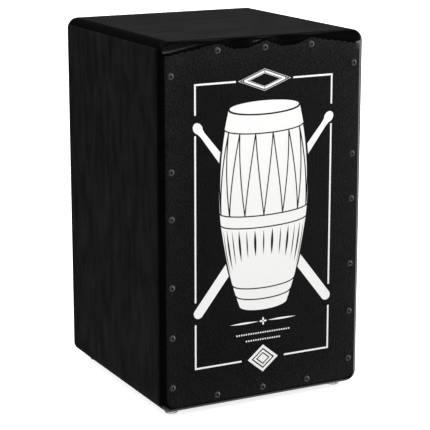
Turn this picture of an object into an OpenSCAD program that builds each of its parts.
// Snare cajon: a plywood box drum with a screwed-on playing plate and tunable snare strings.
// Millimetres. +Z is up, the playing plate faces -Y, and the feet stand on z = 0.

/* [Body] */
// Width over the side panels
body_w = 300; // [240:1:360]
// Depth from the plate's face to the back
body_d = 300; // [240:1:360]
// Height without the feet
body_h = 490; // [400:1:600]
// Radius of the four long edges
corner_r = 15; // [10:0.5:20]
// Radius round the front edges
edge_r = 5; // [2:0.5:7]

/* [Panels] */
// Thickness of the top panel
top_t = 9; // [7:0.5:14]
// Thickness of the bottom panel
bottom_t = 9; // [7:0.5:14]
// Thickness of the side panels
side_t = 9; // [7:0.5:14]
// Thickness of the back panel
back_t = 6; // [4:0.5:10]
// Thickness of the playing plate
plate_t = 3; // [2:0.2:4]
// Width and depth of the linings and battens
lining_w = 12; // [10:0.5:18]

/* [Sound hole] */
// Radius of the sound hole
hole_r = 60; // [40:1:80]
// Height of its centre above the underside of the body
hole_rise = 200; // [120:1:280]
// Radius of its outer lip
hole_lip = 2; // [1:0.5:3]

/* [Finger bevels] */
// Depth of a finger scallop down the plate's face
scallop_drop = 13; // [9:0.5:16]
// Depth of a finger scallop back into the top
scallop_back = 5; // [3:0.5:7]
// Radius of the cutter that makes a scallop
scallop_r = 160; // [120:5:220]
// Depth of a corner bevel where it starts
bevel_drop = 4; // [3:0.5:6]
// Angle at which a corner bevel falls towards the side
bevel_fall = 9.5; // [5:0.5:14]

/* [Plate screws] */
// Distance of the screws from the outside of the body
screw_inset = 15; // [13:0.5:20]
// Distance between the screws of the top and bottom rows
row_pitch = 69; // [50:1:80]
// Number of screws in a row
row_count = 3; // [3:2:5]
// Radius of a screw head
head_r = 4.4; // [3.5:0.1:5]
// Height of a screw head
head_h = 2.2; // [1.6:0.1:3]
// Radius of a screw shank
shank_r = 1.75; // [1.5:0.05:2]
// Size across the flats of the hex socket
socket_af = 2.5; // [2:0.5:3]

/* [Feet] */
// Radius of a foot at the body
foot_r = 10; // [8:0.5:14]
// Height of a foot
foot_h = 8; // [6:0.5:12]
// Distance of a foot's centre from the outside
foot_inset = 25; // [22:1:40]

/* [Snare strings] */
// Distance of a tuner from the middle
tuner_x = 38; // [30:1:60]
// Distance of a string from its tuner's middle
string_spread = 6; // [5:0.5:8]
// Radius of a string
string_r = 0.5; // [0.3:0.05:0.7]
// Distance of a tuning screw behind the bottom lining
tuner_back = 10; // [10:0.5:20]
// Distance of the strings in front of the tuning screw
string_ahead = 6; // [5.5:0.5:7]
// Radius of a tuning screw's thread
thread_r = 3; // [2.5:0.5:4]
// Free height between a bracket's shelves
bracket_gap = 30; // [26:1:50]
// Radius of the key holes in the bottom panel
key_hole_r = 6; // [5.5:0.5:8]

/* [Hidden] */
$fn = 72;

over = 1;            // how far a cutter runs past a surface
screw_gap = 0.05;    // round a screw in its wood
plate_gap = 0.25;    // round a screw in the plate
run_gap = 0.05;      // round a turning screw
slide_gap = 0.3;     // between a sliding face and its guide
shelf_gap = 0.15;    // between a thrust washer and its shelf

// Heights of the side screws, as shares of the body's height
side_screw_share = [0.071, 0.21, 0.348, 0.534, 0.66, 0.911];

// Faces of the body
left_x = -body_w / 2;
front_y = (head_h - body_d) / 2;
back_y = front_y + body_d;
base_z = foot_h;
top_z = foot_h + body_h;

// Faces inside the body
wall_y = front_y + plate_t;
rear_y = back_y - back_t;
inner_x = body_w / 2 - side_t;
floor_z = base_z + bottom_t;
roof_z = top_z - top_t;

// Finger bevels
bevel_tilt = atan(scallop_back / scallop_drop);
scallop_x = row_pitch / 2;
bevel_x = row_pitch - 3;

// Screws
plate_bite = lining_w - 1.5;
socket_r = socket_af / 2 / cos(30);
wood_bite = 7;       // how deep a small screw goes into a panel

// Feet
foot_taper = 1;
foot_round = 1.5;
recess_r = 5.5;
recess_h = 5;
washer_t = 1;
washer_r = 5;
pan_h = 2.4;
pan_r = 3.6;

// Anchor bar
bar_w = 2 * (tuner_x + string_spread) + 24;
bar_h = 16;
bar_d = 14;
bar_clear = 1.5;     // between the bar and the plate
bar_y = wall_y + bar_clear;
bar_z = roof_z - lining_w - bar_h;
bar_screw_x = 20;
string_top_z = bar_z + 2.5;
string_top_y = bar_y - string_r - 0.15;
ferrule_r = 1.5;
ferrule_l = 5;

// Tuners
tuner_y = wall_y + lining_w + tuner_back;
string_y = tuner_y - string_ahead;
sheet_t = 2;         // steel of the bracket
shelf_z = floor_z + 11;
shelf_top = shelf_z + sheet_t;
cap_z = shelf_top + bracket_gap;
carriage_w = 24;
carriage_h = 14;
carriage_z = shelf_top + (bracket_gap - carriage_h) / 2;
carriage_front = string_y - 3;
carriage_rear = tuner_y + thread_r + 3;
wall_front = carriage_rear + slide_gap;
ear_d = 14;
ear_screw_x = 7;
ball_r = 2;
ball_l = 4;
pocket = 2 * ball_r + 0.6;
ceiling_z = carriage_z + pocket;
cap_head_r = 5;
cap_head_h = 6;
key_af = 5;
key_depth = 3.5;
collar_r = 5;
collar_t = 2;

string_x = [-tuner_x - string_spread, -tuner_x + string_spread,
    tuner_x - string_spread, tuner_x + string_spread];
side_screw_z = [for (s = side_screw_share) base_z + s * body_h];
row_x = [for (i = [0:row_count - 1]) (i - (row_count - 1) / 2) * row_pitch];

// ---- Body outline ----

// Rounded outline of the body, x to the right and y as height above the base
module outline() {
    r = corner_r;
    translate([r - body_w / 2, 0]) square([body_w - 2 * r, body_h]);
    translate([-body_w / 2, r]) square([body_w, body_h - 2 * r]);
    for (x = [r - body_w / 2, body_w / 2 - r], y = [r, body_h - r])
        translate([x, y]) circle(r);
}

// A slab of the outline from one depth to another
module slab(from_y, to_y) {
    translate([0, to_y, base_z]) rotate([90, 0, 0])
        linear_extrude(to_y - from_y) outline();
}

// A block given by its two opposite corners
module block(low, high) {
    translate(low) cube(high - low);
}

// ---- Front edge shaping ----

// Profile cut off along a front edge: x runs outwards to the edge, y back from the face
module edge_profile() {
    difference() {
        translate([-edge_r, -over]) square([edge_r + over, edge_r + over]);
        translate([-edge_r, edge_r]) circle(edge_r);
    }
}

// Straight stretch of the rounded front edge, along +X with the outside towards +Z
module edge_run(length) {
    translate([-length / 2, 0, 0]) rotate([90, 0, 90])
        linear_extrude(length) mirror([1, -1]) edge_profile();
}

// Rounded front edge round one corner, from +X to +Z
module edge_corner() {
    rotate([90, 0, 0]) mirror([0, 0, 1])
        rotate_extrude(angle = 90) translate([corner_r, 0]) edge_profile();
}

// All of the rounded front edge
module front_edges() {
    run_w = body_w - 2 * corner_r;
    run_h = body_h - 2 * corner_r;
    translate([0, front_y, base_z + body_h / 2])
        for (turn = [0:3]) {
            across = turn % 2 == 0;
            rotate([0, 90 * turn, 0]) {
                translate([0, 0, (across ? body_h : body_w) / 2])
                    edge_run(across ? run_w : run_h);
                translate([(across ? run_w : run_h) / 2, 0, (across ? run_h : run_w) / 2])
                    edge_corner();
            }
        }
}

// The two finger scallops in the top front edge
module finger_scallops() {
    for (x = [-scallop_x, scallop_x])
        translate([x, front_y, top_z - scallop_drop]) rotate([-bevel_tilt, 0, 0])
            translate([0, -scallop_r, -2 * scallop_drop])
                cylinder(h = 5 * scallop_drop, r = scallop_r, $fn = 360);
}

// The bevels that fall from the outer screws to the top corners
module corner_bevels() {
    reach = body_w;
    for (side = [0, 1])
        mirror([side, 0, 0])
            translate([bevel_x, front_y, top_z - bevel_drop])
                rotate([0, bevel_fall, 0]) rotate([-bevel_tilt, 0, 0])
                    translate([-reach / 2, -reach, -reach / 4]) cube(reach);
}

// A piece with the front edges worked away: the bevels first, then the rounding
module front_shaped() {
    difference() {
        difference() {
            children();
            finger_scallops();
            corner_bevels();
        }
        front_edges();
    }
}

// ---- Panels ----

module top_panel() {
    color([0.13, 0.13, 0.14]) front_shaped() intersection() {
        slab(wall_y, rear_y);
        block([left_x, wall_y - over, roof_z], [-left_x, rear_y + over, top_z + over]);
    }
}

module bottom_panel() {
    color([0.09, 0.09, 0.1]) difference() {
        intersection() {
            slab(wall_y, rear_y);
            block([left_x, wall_y - over, base_z - over], [-left_x, rear_y + over, floor_z]);
        }
        front_edges();
        for (x = [-tuner_x, tuner_x])
            translate([x, tuner_y, base_z - over]) cylinder(h = bottom_t + 2 * over, r = key_hole_r);
        at_feet() translate([0, 0, base_z - over])
            cylinder(h = wood_bite + over, r = shank_r + screw_gap);
        at_bracket_screws() translate([0, 0, floor_z - wood_bite])
            cylinder(h = wood_bite + over, r = shank_r + screw_gap);
    }
}

module right_side_panel() {
    color([0.09, 0.09, 0.1]) front_shaped() intersection() {
        slab(wall_y, rear_y);
        block([inner_x, wall_y - over, floor_z], [-left_x + over, rear_y + over, roof_z]);
    }
}

module left_side_panel() {
    mirror([1, 0, 0]) right_side_panel();
}

module back_panel() {
    color([0.09, 0.09, 0.1]) difference() {
        slab(rear_y, back_y);
        translate([0, back_y, base_z + hole_rise]) rotate([90, 0, 0]) {
            translate([0, 0, -over]) cylinder(h = back_t + 2 * over, r = hole_r, $fn = 180);
            sound_hole_lip();
        }
    }
}

// What rounds the outer rim of the sound hole
module sound_hole_lip() {
    rotate_extrude($fn = 180) difference() {
        translate([hole_r - over, -over]) square([hole_lip + over, hole_lip + over]);
        translate([hole_r + hole_lip, hole_lip]) circle(hole_lip);
    }
}

module front_plate() {
    color([0.07, 0.07, 0.075]) front_shaped() difference() {
        slab(front_y, wall_y);
        at_all_plate_screws() translate([0, 0, -plate_t - over])
            cylinder(h = plate_t + 2 * over, r = shank_r + plate_gap);
    }
}

// ---- Linings and battens ----

module wood(low, high) {
    color([0.8, 0.66, 0.46]) block(low, high);
}

module upright_lining(side, heights) {
    difference() {
        mirror([side, 0, 0])
            wood([inner_x - lining_w, wall_y, floor_z], [inner_x, wall_y + lining_w, roof_z]);
        at_side_screws(side) plate_screw_hole();
    }
}

module row_lining(low_z, row_z) {
    difference() {
        wood([lining_w - inner_x, wall_y, low_z],
            [inner_x - lining_w, wall_y + lining_w, low_z + lining_w]);
        at_row_screws(row_z) plate_screw_hole();
        if (row_z > body_h / 2) at_bar_screws() cylinder(h = bar_screw_l(), r = shank_r + screw_gap);
    }
}

module corner_batten(side, low_z) {
    mirror([side, 0, 0])
        wood([inner_x - lining_w, wall_y + lining_w, low_z], [inner_x, rear_y, low_z + lining_w]);
}

// ---- Plate screws ----

// Places children at the side screws, with +Z out of the plate
module at_side_screws(side) {
    mirror([side, 0, 0]) for (z = side_screw_z)
        translate([body_w / 2 - screw_inset, front_y, z]) rotate([90, 0, 0]) children();
}

// Places children at a row of screws, with +Z out of the plate
module at_row_screws(row_z) {
    for (x = row_x)
        translate([x, front_y, row_z]) rotate([90, 0, 0]) children();
}

module at_all_plate_screws() {
    for (side = [0, 1])
        at_side_screws(side) children();
    for (z = [base_z + screw_inset, top_z - screw_inset])
        at_row_screws(z) children();
}

module plate_screw_hole() {
    translate([0, 0, -plate_t - plate_bite - screw_gap])
        cylinder(h = plate_bite + plate_t, r = shank_r + screw_gap);
}

// Button-head screw with a hex socket, its head resting on z = 0
module plate_screw() {
    dome_r = (head_r * head_r + head_h * head_h) / (2 * head_h);
    color([0.05, 0.05, 0.05]) difference() {
        union() {
            translate([0, 0, -plate_t - plate_bite])
                cylinder(h = plate_t + plate_bite + head_h / 2, r = shank_r);
            intersection() {
                translate([0, 0, head_h - dome_r]) sphere(dome_r);
                cylinder(h = 2 * head_h, r = 2 * head_r);
            }
        }
        translate([0, 0, head_h * 0.35]) cylinder(h = head_h, r = socket_r, $fn = 6);
    }
}

// ---- Feet ----

module at_feet() {
    for (x = [-1, 1], y = [front_y + foot_inset, back_y - foot_inset])
        translate([x * (body_w / 2 - foot_inset), y, 0]) children();
}

// Foot of one corner: side is -1 or 1, end is 0 at the front and 1 at the back
module foot(side, end) {
    color([0.8, 0.8, 0.8, 0.6])
        translate([side * (body_w / 2 - foot_inset),
            end == 0 ? front_y + foot_inset : back_y - foot_inset, 0])
            difference() {
                union() {
                    cylinder(h = foot_round, r1 = foot_r - foot_taper - foot_round,
                        r2 = foot_r - foot_taper);
                    translate([0, 0, foot_round])
                        cylinder(h = foot_h - foot_round, r1 = foot_r - foot_taper, r2 = foot_r);
                }
                translate([0, 0, -over]) cylinder(h = recess_h + over, r = recess_r);
                cylinder(h = foot_h + over, r = shank_r + plate_gap);
            }
}

// Pan-head screw pointing up, the underside of its head at z = 0
module pan_screw(length) {
    color([0.6, 0.6, 0.62]) difference() {
        union() {
            cylinder(h = length, r = shank_r);
            translate([0, 0, -pan_h]) cylinder(h = pan_h, r1 = pan_r - 0.8, r2 = pan_r);
        }
        translate([0, 0, -pan_h - over]) cylinder(h = over + pan_h / 2, r = socket_r, $fn = 6);
    }
}

module foot_screws() {
    seat = recess_h - washer_t;
    at_feet() translate([0, 0, seat]) pan_screw(foot_h - seat + wood_bite - screw_gap);
}

module foot_washers() {
    color([0.7, 0.7, 0.72]) at_feet() translate([0, 0, recess_h - washer_t])
        ring(washer_r, shank_r + plate_gap, washer_t);
}

module ring(outer_r, inner_r, height) {
    difference() {
        cylinder(h = height, r = outer_r);
        translate([0, 0, -over]) cylinder(h = height + 2 * over, r = inner_r);
    }
}

// ---- Upper end of the strings ----

module at_bar_screws() {
    for (x = [-bar_screw_x, bar_screw_x])
        translate([x, bar_y + bar_d / 2, bar_z]) children();
}

function bar_screw_l() = bar_h + lining_w - 2;

module string_anchor_bar() {
    difference() {
        wood([-bar_w / 2, bar_y, bar_z], [bar_w / 2, bar_y + bar_d, bar_z + bar_h]);
        for (x = string_x)
            translate([x, bar_y - over, string_top_z]) rotate([-90, 0, 0])
                cylinder(h = bar_d + 2 * over, r = string_r + plate_gap);
        at_bar_screws() translate([0, 0, -over])
            cylinder(h = bar_h + 2 * over, r = shank_r + screw_gap);
    }
}

module anchor_bar_screws() {
    at_bar_screws() pan_screw(bar_screw_l() - screw_gap);
}

// One string: from its ferrule forward through the bar, then down to the carriage
module snare_string(x) {
    drop = string_top_z - ceiling_z - run_gap;
    back = string_y - string_top_y;
    color([0.75, 0.75, 0.78]) translate([x, string_top_y, string_top_z]) {
        sphere(string_r * 1.1);
        rotate([-90, 0, 0]) cylinder(h = bar_y + bar_d + ferrule_l - string_top_y, r = string_r);
        rotate([180 + atan(back / drop), 0, 0])
            cylinder(h = norm([back, drop]), r = string_r);
    }
}

module string_ferrules() {
    color([0.72, 0.58, 0.28]) for (x = string_x)
        translate([x, bar_y + bar_d, string_top_z]) rotate([-90, 0, 0])
            ring(ferrule_r, string_r + run_gap, ferrule_l - run_gap);
}

// ---- Tuners ----

module at_bracket_screws() {
    for (x = [-tuner_x, tuner_x], dx = [-ear_screw_x, ear_screw_x])
        translate([x + dx, wall_front + sheet_t + ear_d / 2, 0]) children();
}

// Folded steel bracket: two shelves forwards, one ear back on the bottom panel
module tuner_bracket(x) {
    half = carriage_w / 2;
    rear = wall_front + sheet_t;
    color([0.55, 0.56, 0.58]) difference() {
        union() {
            block([x - half, wall_front, floor_z], [x + half, rear, cap_z + sheet_t]);
            block([x - half, carriage_front, shelf_z], [x + half, rear, shelf_top]);
            block([x - half, carriage_front, cap_z], [x + half, rear, cap_z + sheet_t]);
            block([x - half, wall_front, floor_z], [x + half, rear + ear_d, floor_z + sheet_t]);
        }
        translate([x, tuner_y, shelf_z - over])
            cylinder(h = bracket_gap + 2 * sheet_t + 2 * over, r = thread_r + run_gap);
        for (dx = [-string_spread, string_spread])
            block([x + dx - 3, carriage_front - over, cap_z - over],
                [x + dx + 3, string_y + 3, cap_z + sheet_t + over]);
        at_bracket_screws() translate([0, 0, floor_z - over])
            cylinder(h = sheet_t + 2 * over, r = shank_r + plate_gap);
    }
}

module tuner_bracket_screws() {
    at_bracket_screws() translate([0, 0, floor_z + sheet_t]) mirror([0, 0, 1])
        pan_screw(sheet_t + wood_bite - screw_gap);
}

// Socket-head screw, head down
module tuning_screw(x) {
    head_top = shelf_z - shelf_gap - washer_t;
    color([0.62, 0.63, 0.65]) translate([x, tuner_y, 0]) difference() {
        union() {
            translate([0, 0, head_top - cap_head_h]) cylinder(h = cap_head_h, r = cap_head_r);
            translate([0, 0, head_top - over])
                cylinder(h = over + cap_z + sheet_t + 3 - head_top, r = thread_r);
        }
        translate([0, 0, head_top - cap_head_h - over])
            cylinder(h = key_depth + over, r = key_af / 2 / cos(30), $fn = 6);
    }
}

module thrust_washer(x) {
    color([0.9, 0.9, 0.86]) translate([x, tuner_y, shelf_z - shelf_gap - washer_t])
        ring(cap_head_r, thread_r + run_gap, washer_t);
}

module retaining_collar(x) {
    color([0.3, 0.3, 0.32]) translate([x, tuner_y, shelf_top + slide_gap])
        ring(collar_r, thread_r + run_gap, collar_t);
}

// Steel nut block with two string slots, open to the front, and pockets for the ball ends
module string_carriage(x) {
    half = carriage_w / 2;
    color([0.5, 0.51, 0.53]) difference() {
        block([x - half, carriage_front, carriage_z],
            [x + half, carriage_rear, carriage_z + carriage_h]);
        translate([x, tuner_y, carriage_z - over])
            cylinder(h = carriage_h + 2 * over, r = thread_r + run_gap);
        for (dx = [-string_spread, string_spread]) {
            block([x + dx - string_r - 0.3, carriage_front - over, carriage_z - over],
                [x + dx + string_r + 0.3, string_y + string_r + 0.3, carriage_z + carriage_h + over]);
            block([x + dx - pocket / 2, string_y - ball_r - 0.3, carriage_z - over],
                [x + dx + pocket / 2, string_y + ball_r + 0.3, ceiling_z]);
        }
    }
}

module string_balls(x) {
    color([0.78, 0.62, 0.3]) for (dx = [-string_spread, string_spread])
        translate([x + dx - ball_l / 2, string_y, ceiling_z - ball_r]) rotate([0, 90, 0])
            ring(ball_r, ball_r / 2, ball_l);
}

top_panel();
bottom_panel();
left_side_panel();
right_side_panel();
back_panel();
front_plate();
row_lining(roof_z - lining_w, top_z - screw_inset);  // front_lining_top
row_lining(floor_z, base_z + screw_inset);  // front_lining_bottom
upright_lining(1);  // front_lining_left
upright_lining(0);  // front_lining_right
corner_batten(1, roof_z - lining_w);  // corner_batten_top_left
corner_batten(0, roof_z - lining_w);  // corner_batten_top_right
corner_batten(1, floor_z);  // corner_batten_bottom_left
corner_batten(0, floor_z);  // corner_batten_bottom_right
at_row_screws(top_z - screw_inset) plate_screw();  // front_plate_screws_top
at_row_screws(base_z + screw_inset) plate_screw();  // front_plate_screws_bottom
at_side_screws(1) plate_screw();  // front_plate_screws_left
at_side_screws(0) plate_screw();  // front_plate_screws_right
foot(-1, 0);  // foot_front_left
foot(1, 0);  // foot_front_right
foot(-1, 1);  // foot_back_left
foot(1, 1);  // foot_back_right
foot_screws();
foot_washers();
string_anchor_bar();
anchor_bar_screws();
snare_string(string_x[0]);  // snare_string_1
snare_string(string_x[1]);  // snare_string_2
snare_string(string_x[2]);  // snare_string_3
snare_string(string_x[3]);  // snare_string_4
string_ferrules();
tuner_bracket(-tuner_x);  // tuner_bracket_left
tuner_bracket(tuner_x);  // tuner_bracket_right
tuner_bracket_screws();
tuning_screw(-tuner_x);  // tuning_screw_left
tuning_screw(tuner_x);  // tuning_screw_right
thrust_washer(-tuner_x);  // thrust_washer_left
thrust_washer(tuner_x);  // thrust_washer_right
retaining_collar(-tuner_x);  // retaining_collar_left
retaining_collar(tuner_x);  // retaining_collar_right
string_carriage(-tuner_x);  // string_carriage_left
string_carriage(tuner_x);  // string_carriage_right
string_balls(-tuner_x);  // string_balls_left
string_balls(tuner_x);  // string_balls_right
